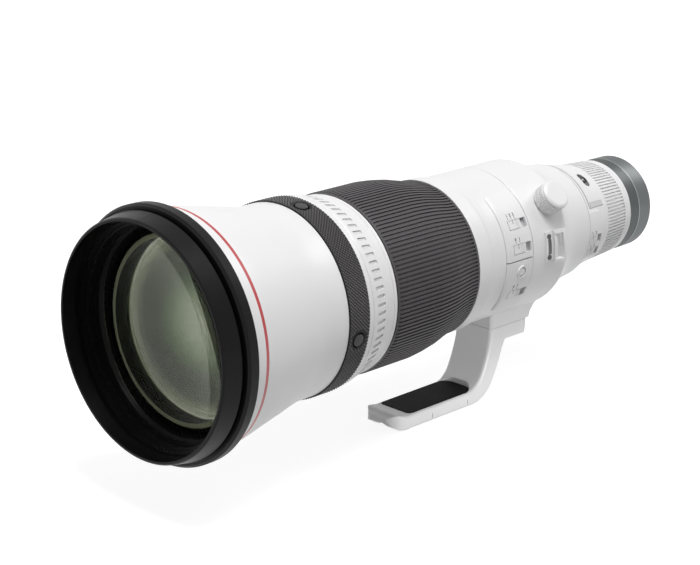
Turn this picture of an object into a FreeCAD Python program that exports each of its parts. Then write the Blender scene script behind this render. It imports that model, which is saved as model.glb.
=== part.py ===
import FreeCAD, Part
import math
import os

# Super telephoto lens, in millimetres.
# The optical axis is Y. The front faces -Y, the camera mount faces +Y and its face lies at y = 0.
# Angles round the axis are degrees from +Z (up) towards +X (the side with the switches).

V = FreeCAD.Vector
os.makedirs("parts", exist_ok=True)

# Sizes along the axis
FRONT_Y = -472.0
FRONT_RING_REAR_Y = -458.8
FLANGE_FRONT_Y = -457.0
FLANGE_REAR_Y = -448.5
GLASS_FRONT_Y = -443.9
GLASS_REAR_Y = -434.2
TUBE_FLANGE_REAR_Y = -428.0
SECOND_FRONT_Y = -422.0
SECOND_REAR_Y = -411.0
BUTTON_RING_FRONT_Y = -356.3
BUTTON_RING_REAR_Y = -338.0
FUNCTION_FRONT_Y = -333.8
FUNCTION_REAR_Y = -307.9
FOCUS_FRONT_Y = -307.3
FOCUS_REAR_Y = -220.8
BODY_FRONT_Y = -220.4
BODY_REAR_Y = -162.0
COLLAR_FRONT_Y = -161.4
COLLAR_REAR_Y = -84.5
REAR_FRONT_Y = -84.0
SLEEVE_STEP_Y = -121.0
HUB_FRONT_Y = -352.0
CELL_STEP_Y = -124.0
REAR_END_Y = -26.2
MOUNT_FACE_Y = 0.0

# Main radii
FRONT_LIP_R = 77.1
FRONT_MOUTH_R = 74.8
FLANGE_OVERHANG = 5.9
FLANGE_R = FRONT_LIP_R + FLANGE_OVERHANG
CLEAR_FRONT_R = 68.2
GLASS_R = 72.4
GLASS_SEAT_R = 72.5
SECOND_GLASS_R = 55.1
SECOND_SEAT_R = 55.2
RUBBER_SEAT_R = 62.8
BUTTON_RING_R = 65.6
HUB_R = 58.5
FOCUS_JOURNAL_R = 57.0
FOCUS_TAIL_R = 50.4
BODY_R = 53.5
SLEEVE_R = 46.0
SLEEVE_TAIL_R = 41.0
SLEEVE_BORE_R = 43.4
TAIL_BORE_R = 38.6

# Running clearances
RUN = 0.1
BEARING_RUN = 0.05
GAP = 0.3

# Ribs and grooves
FOCUS_RIBS = 134
FUNCTION_RIBS = 72
GRIP_RIBS = 92

# Controls
AF_BUTTON_Y = -347.0
AF_BUTTON_ANGLES = (11.0, 101.0, 191.0, 281.0)
AF_BUTTON_R = 4.2
AF_WELL_R = 5.3
AF_TRAVEL = 0.8
SWITCH_DECK_R = 55.0
POCKET_R = 51.9
SWITCH_ANGLES = (61.5, 79.5, 115.5)
SWITCH_TRAVEL = 5.6
SET_ANGLE = 97.1
SET_Y = -175.7
SET_TRAVEL = 0.5
REAR_DECK_R = 42.7
REAR_SWITCH_ANGLES = (98.0, 111.5)
REAR_SWITCH_TRAVEL = 4.2

# Tripod collar and its foot
KNOB_Y = -137.5
KNOB_ANGLE = 51.5
KNOB_R = 11.0
KNOB_RIBS = 40
KNOB_BASE = 54.5
LOCK_STUD_R = 3.0
SHOE_R = 6.0
LUG_ANGLES = (85.0, 275.0)
LUG_SCREWS = ((-146.0, -7.4), (-146.0, 7.4))
FOOT_SCREWS = ((-9.5, -128.5), (9.5, -128.5), (-9.5, -138.0), (9.5, -138.0))
SEAM_Z = -62.0
FOOT_BOTTOM_Z = -115.8
FOOT_HALF_WIDTH = 17.0
FOOT_CORNER_R = 5.0
TRIPOD_THREAD_R = 4.7625
SMALL_THREAD_R = 3.175

# Drop-in filter
FILTER_ANGLE = 24.0
FILTER_R = 24.4
WELL_HALF = 25.9
COVER_SPREAD = 42.3
COVER_FRONT_Y = -79.7
COVER_REAR_Y = -59.9
FRAME_FRONT_Y = -75.4
FRAME_REAR_Y = -64.4
LOCK_ANGLE = 33.0
LOCK_Y = -67.4

# Focus drive
GUIDE_BORE_R = 42.0
GUIDE_R = 44.0
CAM_R = 46.6
FOCUS_PIN_R = 2.0
FOCUS_PIN_Y = -302.0
FOCUS_TRAVEL = 24.0
CAM_TURN = 80.0
FOCUS_PIN_ANGLES = (30.0, 150.0, 270.0)

# Iris
BLADES = 9
BLADE_T = 0.3
BLADE_STEP = 0.42
PIVOT_R = 34.0
DRIVE_PIN_R = 41.0
IRIS_BASE_Y = -137.0
IRIS_RING_Y = -142.0


def revolve(points, start=0.0, sweep=360.0):
    """Turns a closed outline of (y, r) points about the optical axis."""
    face = Part.Face(Part.makePolygon([V(0, y, r) for y, r in points + points[:1]]))
    if start:
        face.rotate(V(0, 0, 0), V(0, 1, 0), start)
    return face.revolve(V(0, 0, 0), V(0, 1, 0), sweep)


def curved(outer, inner):
    """Turns a ring whose outer line is a smooth curve through points and whose inner line is straight."""
    curve = Part.BSplineCurve()
    curve.interpolate([V(0, y, r) for y, r in outer])
    ends = [outer[-1]] + inner + [outer[0]]
    lines = [V(0, y, r) for y, r in ends]
    edges = [curve.toShape()] + Part.makePolygon(lines).Edges
    face = Part.Face(Part.Wire(edges))
    return face.revolve(V(0, 0, 0), V(0, 1, 0), 360)


def tube(y0, y1, inner, outer):
    return revolve([(y0, inner), (y0, outer), (y1, outer), (y1, inner)])


def at(shape, angle):
    """Turns a shape built about +Z round the optical axis to its angle."""
    moved = shape.copy()
    moved.rotate(V(0, 0, 0), V(0, 1, 0), angle)
    return moved


def radial_pin(radius, low, high, y, angle=0.0, x=0.0):
    return at(Part.makeCylinder(radius, high - low, V(x, y, low), V(0, 0, 1)), angle)


def block(width, y0, y1, low, high, angle=0.0, x=0.0):
    """A box centred on a radial line: width across, y0 to y1 along, low to high outward."""
    box = Part.makeBox(width, y1 - y0, high - low, V(x - width / 2, y0, low))
    return at(box, angle)


def wedge(y0, y1, inner, outer, start, end):
    return revolve([(y0, inner), (y0, outer), (y1, outer), (y1, inner)], start, end - start)


def joined(shapes):
    whole = shapes[0]
    for shape in shapes[1:]:
        whole = whole.fuse(shape)
    return whole.removeSplitter()


def save(shape, node):
    shape.exportStep("parts/" + node + ".step")


def plan_block(half_width, y0, y1, z0, z1, front_radius, rear_radius):
    """An upright block across the middle, with its vertical edges rounded at each end."""
    box = Part.makeBox(2 * half_width, y1 - y0, z1 - z0, V(-half_width, y0, z0))
    for y, radius in ((y0, front_radius), (y1, rear_radius)):
        upright = [e for e in box.Edges if e.BoundBox.ZLength > 0.9 * (z1 - z0)]
        box = box.makeFillet(radius, [e for e in upright if abs(e.CenterOfMass.y - y) < 0.1])
    return box


# Outside lines of the barrel, as (y, r)
FRONT_CURVE = [(-448.4, 79.0), (-437.6, 78.0), (-429.0, 76.6), (-421.0, 75.0), (-413.0, 73.3),
               (-405.0, 71.7), (-397.0, 70.1), (-390.0, 68.6), (-382.0, 66.9), (-374.0, 65.6),
               (-366.0, 65.1), (-356.3, 65.1)]
FOCUS_LINE = [(FOCUS_FRONT_Y, 61.3), (-303.5, 62.3), (-265.0, 62.3), (-256.0, 61.5), (-246.0, 60.0),
              (-237.0, 57.8), (-228.0, 55.8), (FOCUS_REAR_Y, 55.2)]
COLLAR_CURVE = [(-125.0, 53.5), (-122.0, 52.4), (-118.0, 50.4), (-114.0, 48.6), (-110.0, 47.1),
                (-106.0, 45.9), (-101.0, 44.8), (-95.0, 43.9), (-89.0, 43.2), (COLLAR_REAR_Y, 42.8)]
REAR_LINE = [(REAR_FRONT_Y, 42.7), (-80.0, 41.4), (-73.0, 39.7), (-66.0, 38.5), (-57.0, 37.5), (-33.0, 36.0),
             (REAR_END_Y, 35.6)]


def front_rubber_ring():
    """The black lip in front of the hood flange, open at the front."""
    line = [(FRONT_Y, FRONT_MOUTH_R), (FRONT_Y, FRONT_LIP_R - 0.9), (FRONT_Y + 0.9, FRONT_LIP_R),
            (FRONT_RING_REAR_Y - 0.5, FRONT_LIP_R + 2.2), (FRONT_RING_REAR_Y, FRONT_LIP_R + 1.7),
            (FRONT_RING_REAR_Y, 73.2),
            (-460.5, 73.2), (-460.5, 74.2), (-463.0, 74.2), (-463.0, 73.4)]
    return revolve(line)


def hood_mount_ring():
    """The wide flange the hood clamps on. It also holds the front glass."""
    neck_r = FRONT_LIP_R - 0.5
    line = [(FRONT_RING_REAR_Y, 72.6), (FRONT_RING_REAR_Y, neck_r), (FLANGE_FRONT_Y, neck_r),
            (FLANGE_FRONT_Y, FLANGE_R - 1.6), (FLANGE_FRONT_Y + 1.6, FLANGE_R),
            (FLANGE_REAR_Y - 0.8, FLANGE_R),
            (FLANGE_REAR_Y, FLANGE_R - 0.8), (FLANGE_REAR_Y, GLASS_SEAT_R), (GLASS_FRONT_Y, GLASS_SEAT_R),
            (GLASS_FRONT_Y, CLEAR_FRONT_R), (-447.0, 69.4), (-450.0, 69.4), (-450.0, 71.0),
            (-452.5, 71.0), (-452.5, 70.3), (-455.0, 70.3), (-455.0, 72.0), (-457.4, 72.0), (-457.4, 72.6)]
    return revolve(line)


def front_barrel():
    """The white conical housing behind the flange, with the seat of the dark button ring."""
    band_r = BUTTON_RING_R
    inner = [(BUTTON_RING_FRONT_Y, RUBBER_SEAT_R), (BUTTON_RING_REAR_Y, RUBBER_SEAT_R),
             (BUTTON_RING_REAR_Y, band_r), (FUNCTION_FRONT_Y - 0.5, band_r - 0.2),
             (FUNCTION_FRONT_Y - GAP, band_r - 0.8), (FUNCTION_FRONT_Y - GAP, HUB_R),
             (HUB_FRONT_Y, HUB_R), (-374.0, 62.8), (-405.0, 69.0), (-420.0, 70.5),
             (TUBE_FLANGE_REAR_Y, 70.5), (TUBE_FLANGE_REAR_Y, GLASS_SEAT_R), (-448.4, GLASS_SEAT_R)]
    shell = curved(FRONT_CURVE, inner)
    wells = [radial_pin(AF_BUTTON_R + RUN, 60.4, 70, AF_BUTTON_Y, a) for a in AF_BUTTON_ANGLES]
    return shell.cut(Part.makeCompound(wells))


def button_ring():
    """The dark sleeve that carries the four stop buttons in round wells."""
    edge = 0.5
    line = [(BUTTON_RING_FRONT_Y, RUBBER_SEAT_R), (BUTTON_RING_FRONT_Y, BUTTON_RING_R - edge),
            (BUTTON_RING_FRONT_Y + edge, BUTTON_RING_R), (BUTTON_RING_REAR_Y - edge, BUTTON_RING_R),
            (BUTTON_RING_REAR_Y, BUTTON_RING_R - edge), (BUTTON_RING_REAR_Y, RUBBER_SEAT_R)]
    wells = [radial_pin(AF_WELL_R, 60, 70, AF_BUTTON_Y, a) for a in AF_BUTTON_ANGLES]
    return revolve(line).cut(Part.makeCompound(wells))


def af_stop_button(angle):
    """A round button with a low domed top, held in the well of the front barrel."""
    low = 60.5 + AF_TRAVEL + 0.1
    body = Part.makeCylinder(AF_BUTTON_R, 67 - low, V(0, AF_BUTTON_Y, low), V(0, 0, 1))
    dome = Part.makeSphere(40, V(0, AF_BUTTON_Y, 66.1 - 40))
    return at(body.common(dome), angle)


def function_ring():
    """The white sprung ring with short grooves round its middle."""
    line = [(FUNCTION_FRONT_Y, HUB_R + RUN), (FUNCTION_FRONT_Y, 65.1), (FUNCTION_FRONT_Y + 0.6, 65.4),
            (-331.0, 65.1), (-319.5, 62.6), (-313.0, 61.6), (-311.3, 61.5), (-311.3, 61.0), (-310.9, 61.0),
            (-310.9, 61.4), (FUNCTION_REAR_Y - 0.5, 61.4), (FUNCTION_REAR_Y, 60.9),
            (FUNCTION_REAR_Y, HUB_R + RUN)]
    ring = revolve(line)
    pitch = 360.0 / FUNCTION_RIBS
    slope = math.degrees(math.atan2(65.1 - 62.6, 331.0 - 319.5))
    cutter = Part.makeBox(2.6, 9.4, 4.0, V(-1.3, -4.7, -0.9))
    upright = [e for e in cutter.Edges if e.BoundBox.ZLength > 3.9]
    cutter = cutter.makeFillet(1.0, upright)
    cutter.rotate(V(0, 0, 0), V(1, 0, 0), -slope)
    cutter.translate(V(0, -325.2, 63.85))
    cutters = [at(cutter, k * pitch) for k in range(FUNCTION_RIBS)]
    return ring.cut(Part.makeCompound(cutters))


def offset_line(line, amount):
    return [(y, r - amount) for y, r in line]


def focus_ring():
    """The sleeve of the manual focus ring, running on the inner tube's two journals."""
    outer = offset_line(FOCUS_LINE, 2.7)
    inner = [(FOCUS_REAR_Y, FOCUS_TAIL_R + RUN), (-230.8, FOCUS_TAIL_R + RUN),
             (-260.8, FOCUS_JOURNAL_R + RUN), (FOCUS_FRONT_Y, FOCUS_JOURNAL_R + RUN)]
    return revolve(outer + inner)


def focus_ring_rubber():
    """The ribbed rubber grip over the focus sleeve."""
    whole = revolve(FOCUS_LINE + offset_line(FOCUS_LINE, 2.7)[::-1])
    skin = revolve(offset_line(FOCUS_LINE, -1.0) + offset_line(FOCUS_LINE, 0.9)[::-1])
    pitch = 360.0 / FOCUS_RIBS
    slab = block(1.25, FOCUS_FRONT_Y + 1.6, FOCUS_REAR_Y - 1.6, 50, 70)
    slabs = [at(slab, (k + 0.5) * pitch) for k in range(FOCUS_RIBS)]
    grooves = skin.common(Part.makeCompound(slabs))
    return whole.cut(grooves)


def inner_tube():
    """The black chassis tube: glass seats, ring journals and the guide tube of the focus cell."""
    line = [(GLASS_REAR_Y, 60.6), (GLASS_REAR_Y, GLASS_R), (TUBE_FLANGE_REAR_Y, GLASS_R),
            (TUBE_FLANGE_REAR_Y, 62.5), (-400.0, 60.5), (HUB_FRONT_Y - 1.0, HUB_R - 0.2),
            (HUB_FRONT_Y, HUB_R),
            (FOCUS_FRONT_Y - GAP, HUB_R),
            (FOCUS_FRONT_Y - GAP, FOCUS_JOURNAL_R), (-262.0, FOCUS_JOURNAL_R), (-232.0, FOCUS_TAIL_R),
            (-216.0, FOCUS_TAIL_R), (-216.0, 48.2), (-231.0, 48.2), (-261.0, 54.4), (-322.0, 54.4),
            (-322.0, GUIDE_R), (-238.0, GUIDE_R), (-238.0, GUIDE_BORE_R), (-324.0, GUIDE_BORE_R),
            (-324.0, 56.0), (-352.0, 56.2), (-400.0, 58.2), (SECOND_REAR_Y + 2.5, 59.0),
            (SECOND_REAR_Y + 2.5, SECOND_SEAT_R - 0.7), (SECOND_REAR_Y, SECOND_SEAT_R - 0.7),
            (SECOND_REAR_Y, SECOND_SEAT_R), (SECOND_FRONT_Y - 0.4, SECOND_SEAT_R),
            (SECOND_FRONT_Y - 1.4, SECOND_SEAT_R + 1.8)]
    steps = ((-400.0, 54.0), (-378.0, 50.5), (-352.0, 46.5))
    baffles = [tube(y, y + 0.8, inner, 58.4) for y, inner in steps]
    tube_body = joined([revolve(line)] + baffles)
    slots = []
    for angle in FOCUS_PIN_ANGLES:
        for y in (FOCUS_PIN_Y, FOCUS_PIN_Y + FOCUS_TRAVEL):
            slots.append(radial_pin(FOCUS_PIN_R + 0.15, 40, 45, y, angle))
        width = 2 * (FOCUS_PIN_R + 0.15)
        slots.append(block(width, FOCUS_PIN_Y, FOCUS_PIN_Y + FOCUS_TRAVEL, 40, 45, angle))
    return tube_body.cut(joined(slots[:3])).cut(joined(slots[3:6])).cut(joined(slots[6:]))


def front_element():
    """The large front lens, convex outward, with a plain ground edge."""
    edge = tube(GLASS_FRONT_Y, GLASS_REAR_Y, 0, GLASS_R)
    front = Part.makeSphere(255, V(0, GLASS_FRONT_Y + math.sqrt(255 ** 2 - CLEAR_FRONT_R ** 2), 0))
    front = front.common(Part.makeCylinder(CLEAR_FRONT_R, 20, V(0, GLASS_FRONT_Y - 20, 0), V(0, 1, 0)))
    front = front.fuse(edge)
    back = Part.makeSphere(600, V(0, GLASS_REAR_Y - math.sqrt(600 ** 2 - 57.5 ** 2), 0))
    back = back.common(Part.makeCylinder(57.5, 10, V(0, GLASS_REAR_Y - 2, 0), V(0, 1, 0)))
    return front.fuse(back).removeSplitter()


def lens(y0, y1, radius, front_r, rear_r):
    """A lens between two flat rims; a positive radius bulges outward, a negative one is hollow."""
    body = tube(y0, y1, 0, radius)
    clear = radius - 0.8
    for y, curve_r, way in ((y0, front_r, -1), (y1, rear_r, 1)):
        reach = math.sqrt(curve_r ** 2 - clear ** 2)
        if curve_r > 0:
            ball = Part.makeSphere(curve_r, V(0, y - way * reach, 0))
            start = y if way > 0 else y - 20
            body = body.fuse(ball.common(Part.makeCylinder(clear, 20, V(0, start, 0), V(0, 1, 0))))
        else:
            body = body.cut(Part.makeSphere(-curve_r, V(0, y + way * reach, 0)))
    return body.removeSplitter()


def cam_ring():
    """The turning ring with three helical slots that drive the focus cell's pins."""
    ring = tube(-316.0, -246.0, GUIDE_R + BEARING_RUN, CAM_R)
    rise = FOCUS_TRAVEL / math.radians(CAM_TURN)
    half = (FOCUS_PIN_R + 0.15) / math.cos(math.atan(rise / 45.3))
    for angle in FOCUS_PIN_ANGLES:
        sections = []
        for k in range(11):
            share = k / 10.0
            y = FOCUS_PIN_Y + share * FOCUS_TRAVEL
            corners = [V(0, y - half, 43), V(0, y + half, 43), V(0, y + half, 48), V(0, y - half, 48)]
            wire = Part.makePolygon(corners + corners[:1])
            wire.rotate(V(0, 0, 0), V(0, 1, 0), angle - share * CAM_TURN)
            sections.append(wire)
        ring = ring.cut(Part.makeLoft(sections, True, False))
        ring = ring.cut(radial_pin(FOCUS_PIN_R + 0.15, 43, 48, FOCUS_PIN_Y, angle))
        end_y = FOCUS_PIN_Y + FOCUS_TRAVEL
        ring = ring.cut(radial_pin(FOCUS_PIN_R + 0.15, 43, 48, end_y, angle - CAM_TURN))
    return ring


def focus_cell():
    """The sliding cell of the focus lens with its three follower pins."""
    line = [(-312.0, 38.1), (-312.0, GUIDE_BORE_R - RUN), (-292.0, GUIDE_BORE_R - RUN), (-292.0, 35.5),
            (-296.0, 35.5), (-296.0, 38.1)]
    cell = revolve(line)
    pins = [radial_pin(FOCUS_PIN_R, 40, CAM_R - 0.3, FOCUS_PIN_Y, a) for a in FOCUS_PIN_ANGLES]
    return joined([cell] + pins)


def focus_motor():
    """The ring motor's stator behind the cam ring, with its comb of teeth."""
    ring = tube(-245.7, -239.0, GUIDE_R, 47.6)
    slots = [block(0.9, -245.8, -243.6, 43, 49, k * 6.0) for k in range(60)]
    return ring.cut(Part.makeCompound(slots))


def deck(start, end):
    """One raised switch deck, bevelled along its edges."""
    y0 = -191.0
    y1 = -163.9
    line = [(y0, POCKET_R), (y0, 53.9), (y0 + 1.6, SWITCH_DECK_R), (y1 - 0.4, SWITCH_DECK_R),
            (y1, SWITCH_DECK_R - 0.4), (y1, POCKET_R)]
    return revolve(line, start, end - start)


def switch_panel():
    """The two raised decks beside the collar, with windows for the sliders and the set button."""
    upper = deck(36.5, 87.6)
    lower = deck(88.6, 130.0)
    for angle in SWITCH_ANGLES:
        window = block(6.8, -184.3, SWITCH_TRAVEL - 171.2, 53, 57, angle)
        cavity = block(8.6, -185.2, SWITCH_TRAVEL - 170.6, 50, 53.3, angle)
        upper = upper.cut(window).cut(cavity)
        lower = lower.cut(window).cut(cavity)
    hole = radial_pin(3.5, 50, 57, SET_Y, SET_ANGLE)
    hollow = radial_pin(4.2, 50, 53.4, SET_Y, SET_ANGLE)
    lower = lower.cut(hole).cut(hollow)
    rim = radial_pin(4.7, 53.5, 55.8, SET_Y, SET_ANGLE).cut(radial_pin(3.5, 53, 56, SET_Y, SET_ANGLE))
    lower = lower.fuse(rim).removeSplitter()
    return Part.makeCompound([upper, lower])


def slider(angle, y0, y1, low, shelf, high, width):
    """A switch slider: a wide shoe under the deck and a knob with a finger ridge in the window."""
    shoe = block(width + 1.6, y0 - 0.3, y1 + 0.3, low, shelf, 0)
    knob = block(width, y0, y1, shelf - 0.1, high, 0)
    grooves = []
    for k in range(3):
        y = y1 - 2.2 - 1.4 * k
        grooves.append(block(width + 2, y, y + 0.6, high - 0.35, high + 1, 0))
    return at(shoe.fuse(knob).removeSplitter().cut(Part.makeCompound(grooves)), angle)


def preset_set_button():
    low = POCKET_R + SET_TRAVEL + 0.1
    flange = Part.makeCylinder(4.0, 0.7, V(0, SET_Y, low), V(0, 0, 1))
    stem = Part.makeCylinder(2.9, 55.6 - low, V(0, SET_Y, low), V(0, 0, 1))
    stem = stem.makeFillet(0.5, [e for e in stem.Edges if e.BoundBox.ZMin > 55])
    return at(stem.fuse(flange), SET_ANGLE)


def main_barrel():
    """The white body ahead of the collar and the sleeve that runs on inside it."""
    outer = [(BODY_FRONT_Y, 55.3), (-207.5, 55.1), (-204.5, 54.0), (-199.0, 53.6),
             (BODY_REAR_Y - 0.5, BODY_R),
             (BODY_REAR_Y, BODY_R - 0.4)]
    inner = [(BODY_REAR_Y, SLEEVE_R), (SLEEVE_STEP_Y, SLEEVE_R), (SLEEVE_STEP_Y, SLEEVE_TAIL_R),
             (COLLAR_REAR_Y, SLEEVE_TAIL_R), (COLLAR_REAR_Y, TAIL_BORE_R), (CELL_STEP_Y, TAIL_BORE_R),
             (CELL_STEP_Y, SLEEVE_BORE_R), (-165.0, SLEEVE_BORE_R), (-165.0, 50.4), (-200.0, FOCUS_TAIL_R),
             (BODY_FRONT_Y, FOCUS_TAIL_R)]
    body = revolve(outer + inner)
    for angle in (90.0, 270.0):
        lug = block(6, -174.0, -166.0, 48.3, 50.9, angle)
        body = body.fuse(lug).cut(radial_pin(1.3, 48, 51.4, -170.0, angle))
    body = body.removeSplitter()
    return body.cut(wedge(-191.2, -163.7, POCKET_R, 60, 36.2, 130.3))


def stabilizer_guide_frame():
    """The outer ring of the stabiliser. Its two pins let it shift sideways in the body."""
    ring = tube(-172.5, -167.5, 36.5, 46.8)
    ring = ring.cut(tube(-173.0, -169.5, 30, 39.5))
    for angle in (90.0, 270.0):
        ring = ring.fuse(radial_pin(1.2, 45.0, 49.9, -170.0, angle))
    for angle in (0.0, 180.0):
        ring = ring.fuse(block(6, -172.5, -167.5, 36.5, 40.0, angle))
        ring = ring.cut(radial_pin(1.3, 35, 41.5, -170.0, angle))
    return ring.removeSplitter()


def stabilizer_lens_frame():
    """The shifting lens of the stabiliser in its own frame, with two upright pins."""
    frame = tube(-172.5, -167.8, 27.0, 34.0)
    frame = frame.cut(tube(-173, -170.0, 20, 29.0))
    for angle in (0.0, 180.0):
        frame = frame.fuse(radial_pin(1.2, 30.0, 39.8, -170.0, angle))
    glass = lens(-174.0, -170.0, 29.0, 90.0, -140.0)
    return Part.makeCompound([frame.removeSplitter(), glass])


def iris_base():
    """The fixed plate of the iris with its nine pivot posts."""
    plate = tube(IRIS_BASE_Y, IRIS_BASE_Y + 2.0, 24.2, SLEEVE_BORE_R)
    posts = []
    for k in range(BLADES):
        post = Part.makeCylinder(1.0, 5.0, V(0, IRIS_RING_Y + 0.2, PIVOT_R), V(0, 1, 0))
        posts.append(at(post, k * 360.0 / BLADES))
    return plate.fuse(posts).removeSplitter()


def iris_blade(number):
    """One thin curved blade with its pivot eye, short tail and drive pin, on its own layer."""
    y = IRIS_BASE_Y - 0.12 - BLADE_T - number * BLADE_STEP
    arc = wedge(y, y + BLADE_T, 24.6, 31.4, -4.0, 100.0)
    root = Part.makeCylinder(2.7, BLADE_T, V(0, y, PIVOT_R), V(0, 1, 0))
    tail = block(2.6, y, y + BLADE_T, PIVOT_R, DRIVE_PIN_R)
    end = Part.makeCylinder(1.3, BLADE_T, V(0, y, DRIVE_PIN_R), V(0, 1, 0))
    pin = Part.makeCylinder(0.8, y - IRIS_RING_Y + 2.0, V(0, IRIS_RING_Y - 2.0, DRIVE_PIN_R), V(0, 1, 0))
    blade = joined([arc, root, tail, end, pin])
    blade = blade.cut(Part.makeCylinder(1.08, 20, V(0, y - 10, PIVOT_R), V(0, 1, 0)))
    return at(blade, number * 360.0 / BLADES)


def iris_drive_ring():
    """The turning ring whose nine short slots pull the blades' pins round together."""
    ring = tube(IRIS_RING_Y - 2.5, IRIS_RING_Y, 33.0, SLEEVE_BORE_R - BEARING_RUN)
    slots = []
    for k in range(BLADES):
        slots.append(block(1.9, IRIS_RING_Y - 3, IRIS_RING_Y + 1, DRIVE_PIN_R - 1.7, DRIVE_PIN_R + 1.1,
                           k * 360.0 / BLADES))
    return ring.cut(Part.makeCompound(slots))


def rear_lens_cell():
    """The cell of the rear lens, flanged against the step inside the sleeve."""
    front = CELL_STEP_Y - 3.0
    line = [(-126.0, 25.0), (-126.0, 27.5), (front, 27.5), (front, SLEEVE_BORE_R),
            (CELL_STEP_Y, SLEEVE_BORE_R),
            (CELL_STEP_Y, 27.5), (-98.0, 27.5), (-98.0, 24.3), (-112.0, 24.3), (-112.0, 25.0)]
    return revolve(line)


def circuit_board():
    """The ring-shaped board round the rear cell, with its chips, cut away for cables."""
    board = tube(-105.5, -104.0, 27.6, TAIL_BORE_R)
    board = board.cut(block(16, -107, -103, 34, 45, 200.0))
    chips = [block(7, -107.0, -105.5, 29.5, 36.5, a) for a in (20.0, 100.0, 250.0)]
    gyros = [block(4, -107.2, -105.5, 31, 35, a) for a in (60.0, 150.0, 310.0)]
    return joined([board] + chips + gyros)


def drawer_cover(margin, floor):
    """The space of the filter drawer's outer cover, with a margin on all sides, wider in front."""
    spread = COVER_SPREAD + math.degrees(margin / 40.0)
    sector = wedge(COVER_FRONT_Y - 3 * margin, COVER_REAR_Y + margin, 10.0, 50.0, -spread, spread)
    return at(sector.common(block(80, -90, -50, floor, 60)), FILTER_ANGLE)


def rear_profile_solid(extra=0.0):
    ends = [(REAR_END_Y, 0), (REAR_FRONT_Y, 0)]
    return revolve([(y, r + extra) for y, r in REAR_LINE] + ends)


def rear_barrel():
    """The tapering white rear housing: filter well, switch deck and ribbed grip."""
    inner = [(REAR_END_Y, 31.8), (-57.0, 31.8), (-57.0, 23.5), (-83.0, 23.5), (-83.0, 36.4), (-92.0, 36.4),
             (-92.0, TAIL_BORE_R), (REAR_FRONT_Y, TAIL_BORE_R)]
    body = revolve(REAR_LINE + inner)
    raised = wedge(REAR_FRONT_Y, -69.6, 38.0, REAR_DECK_R, 70.6, 119.0)
    keep = revolve([(-85, 0), (-85, REAR_DECK_R), (-70.4, REAR_DECK_R), (-69.0, REAR_DECK_R - 1.4),
                    (-69.0, 0)])
    bevel = wedge(-84.5, -69.0, REAR_DECK_R - 0.5, 46.0, 70.0, 120.0).cut(keep)
    body = body.fuse(raised.cut(bevel)).removeSplitter()
    seat = drawer_cover(GAP, 24.5)
    well_half = FRAME_REAR_Y - FRAME_FRONT_Y + 2 * 0.2
    well = Part.makeCylinder(WELL_HALF, well_half, V(0, FRAME_FRONT_Y - 0.2, 0), V(0, 1, 0))
    well = well.fuse(block(2 * WELL_HALF, FRAME_FRONT_Y - 0.2, FRAME_REAR_Y + 0.2, 0, 50))
    body = body.cut(seat).cut(at(well, FILTER_ANGLE))
    for angle in REAR_SWITCH_ANGLES:
        body = body.cut(block(6.2, -82.6, REAR_SWITCH_TRAVEL - 74.8, 40.0, 46, angle))
        body = body.cut(block(8.0, -82.95, REAR_SWITCH_TRAVEL - 74.5, 37.9, 40.4, angle))
    slope = math.degrees(math.atan2(37.5 - 36.0, 57.0 - 33.0))
    cutter = Part.makeBox(1.4, 22.4, 3.4, V(-0.7, -11.2, -1.15))
    cutter.rotate(V(0, 0, 0), V(1, 0, 0), -slope)
    cutter.translate(V(0, -44.2, 36.7))
    cutters = [at(cutter, (k + 0.5) * 360.0 / GRIP_RIBS) for k in range(GRIP_RIBS)]
    return body.cut(Part.makeCompound(cutters))


def filter_holder():
    """The drawer of the drop-in filter: an outer cover with the frame that reaches across the light path."""
    cover = at(drawer_cover(0.0, 24.8), -FILTER_ANGLE).common(rear_profile_solid(0.25))
    depth = FRAME_REAR_Y - FRAME_FRONT_Y
    frame = Part.makeCylinder(WELL_HALF - 0.2, depth, V(0, FRAME_FRONT_Y, 0), V(0, 1, 0))
    frame = frame.fuse(block(2 * (WELL_HALF - 0.2), FRAME_FRONT_Y, FRAME_REAR_Y, 0, 25))
    frame = frame.fuse(cover)
    frame = frame.cut(tube(FRAME_FRONT_Y - 1, FRAME_REAR_Y - 2.4, 0, FILTER_R))
    frame = frame.cut(tube(FRAME_REAR_Y - 3, FRAME_REAR_Y + 1, 0, FILTER_R - 1.3))
    frame = at(frame.removeSplitter(), FILTER_ANGLE)
    frame = frame.cut(wedge(-78.95, -60.65, 35.3, 50, 60.35, 72.0))
    return frame.cut(oval(34.0, 45, 0.1))


def oval(low, high, extra):
    """The oval of the metal lock slot, set across the drawer's cover."""
    half_length = 6.3 + extra
    half_width = 3.2 + extra
    run = half_length - half_width
    mid = block(2 * run, LOCK_Y - half_width, LOCK_Y + half_width, low, high)
    ends = [Part.makeCylinder(half_width, high - low, V(s * run, LOCK_Y, low), V(0, 0, 1)) for s in (-1, 1)]
    return at(joined([mid] + ends), LOCK_ANGLE)


def lock_slot_plate():
    """A metal oval with a raised middle and a narrow security slot."""
    plate = oval(34.0, 41.2, 0.0).common(rear_profile_solid(-0.35))
    hump = Part.makeCylinder(2.8, 4.0, V(0, LOCK_Y, 36.8)).common(Part.makeSphere(4.8, V(0, LOCK_Y, 35.4)))
    plate = plate.fuse(at(hump, LOCK_ANGLE)).removeSplitter()
    return plate.cut(block(7.0, LOCK_Y - 0.8, LOCK_Y + 0.8, 38.4, 43, LOCK_ANGLE))


def drop_in_filter():
    """The filter ring and its round glass."""
    ring = tube(-74.0, FRAME_REAR_Y - 2.4, FILTER_R - 1.4, FILTER_R)
    ring = ring.cut(tube(-75.0, -72.5, 20, FILTER_R - 0.8))
    glass = tube(-71.6, -69.4, 0, FILTER_R - 1.4)
    return Part.makeCompound([ring, glass])


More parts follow.
